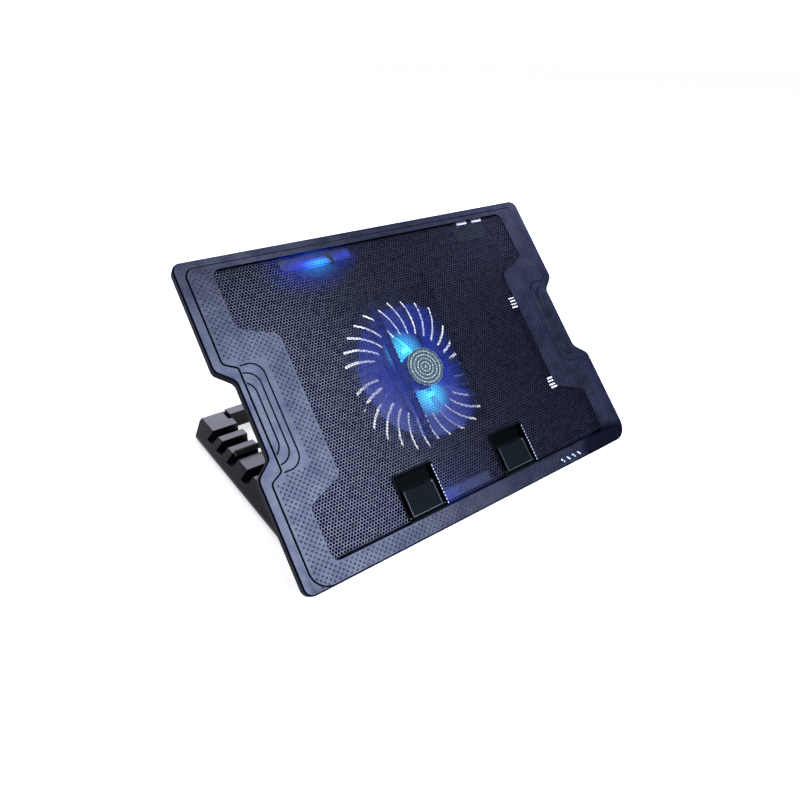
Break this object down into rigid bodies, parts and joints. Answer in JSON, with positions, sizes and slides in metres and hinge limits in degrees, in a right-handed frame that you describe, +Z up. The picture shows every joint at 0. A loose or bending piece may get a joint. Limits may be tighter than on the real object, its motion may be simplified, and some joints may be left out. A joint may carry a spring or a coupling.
{
  "type": "laptop cooling pad",
  "caption": "Tilting laptop cooling pad: perforated deck with a lit fan and flip-up stops, propped on a racked folding base.",
  "frame": {"origin": "on the desk, at the middle of the pad's footprint", "axes": "+X across the pad to the right, +Y towards its raised back edge, +Z up"},
  "size_m": [0.38, 0.2894, 0.2188],
  "materials": {
    "base_plastic": "satin",
    "rubber": "matte",
    "steel_pin": "satin",
    "deck_plastic": "satin",
    "gloss_black": "gloss",
    "mesh_steel": "semi-gloss",
    "dark_plastic": "matte",
    "screw_steel": "satin",
    "rotor_blue": "gloss",
    "label": "satin",
    "led_blue": "gloss",
    "board_green": "satin",
    "socket_steel": "satin",
    "copper": "satin"
  },
  "bodies": {
    "base": {"base_frame": "base_plastic", "base_feet": "rubber", "hinge_pins": "steel_pin"},
    "rotor": {"fan_rotor": "rotor_blue", "fan_shaft": "steel_pin", "hub_label": "label"},
    "prop": {"prop_frame": "dark_plastic", "prop_grips": "rubber"},
    "stop_left": {"stop_flap_left": "gloss_black"},
    "stop_right": {"stop_flap_right": "gloss_black"},
    "switch": {"switch_knob": "gloss_black"},
    "deck": {"bottom_shell": "dark_plastic", "case_screws": "screw_steel", "corner_trim": "gloss_black", "fan_bearing": "dark_plastic", "fan_board": "board_green", "fan_stator": "copper", "hub_leds": "led_blue", "light_bar_back": "led_blue", "light_bar_front": "led_blue", "mesh_panel": "mesh_steel", "mesh_support": "dark_plastic", "prop_pins": "steel_pin", "stop_housing_left": "gloss_black", "stop_housing_right": "gloss_black", "stop_pin_left": "steel_pin", "stop_pin_right": "steel_pin", "switch_body": "dark_plastic", "top_bezel": "deck_plastic", "usb_board": "board_green", "usb_sockets": "socket_steel"}
  },
  "joints": [
    {"name": "pad_tilt", "type": "hinge", "parent": "base", "child": "deck", "pos_m": [0, -0.11728, 0.008], "axis": [1, 0, 0], "range_deg": [-46, 0]},
    {"name": "prop_swing", "type": "hinge", "parent": "deck", "child": "prop", "pos_m": [0, -0.05812, 0.08294], "axis": [1, 0, 0], "range_deg": [0, 76.03]},
    {"name": "fan_spin", "type": "hinge", "parent": "deck", "child": "rotor", "pos_m": [0, -0.03913, 0.10908], "axis": [0, -0.7193, 0.6947], "continuous": true},
    {"name": "stop_left_flip", "type": "hinge", "parent": "deck", "child": "stop_left", "pos_m": [-0.0655, -0.13, 0.0314], "axis": [1, 0, 0], "range_deg": [0, 90]},
    {"name": "stop_right_flip", "type": "hinge", "parent": "deck", "child": "stop_right", "pos_m": [0.0435, -0.13, 0.0314], "axis": [1, 0, 0], "range_deg": [0, 90]},
    {"name": "switch_slide", "type": "slide", "parent": "deck", "child": "switch", "axis": [1, 0, 0], "range_m": [0, 0.003]}
  ],
  "couplings": [
    {"joint": "prop_swing", "follows": "pad_tilt", "ratio": -1.6525}
  ]
}
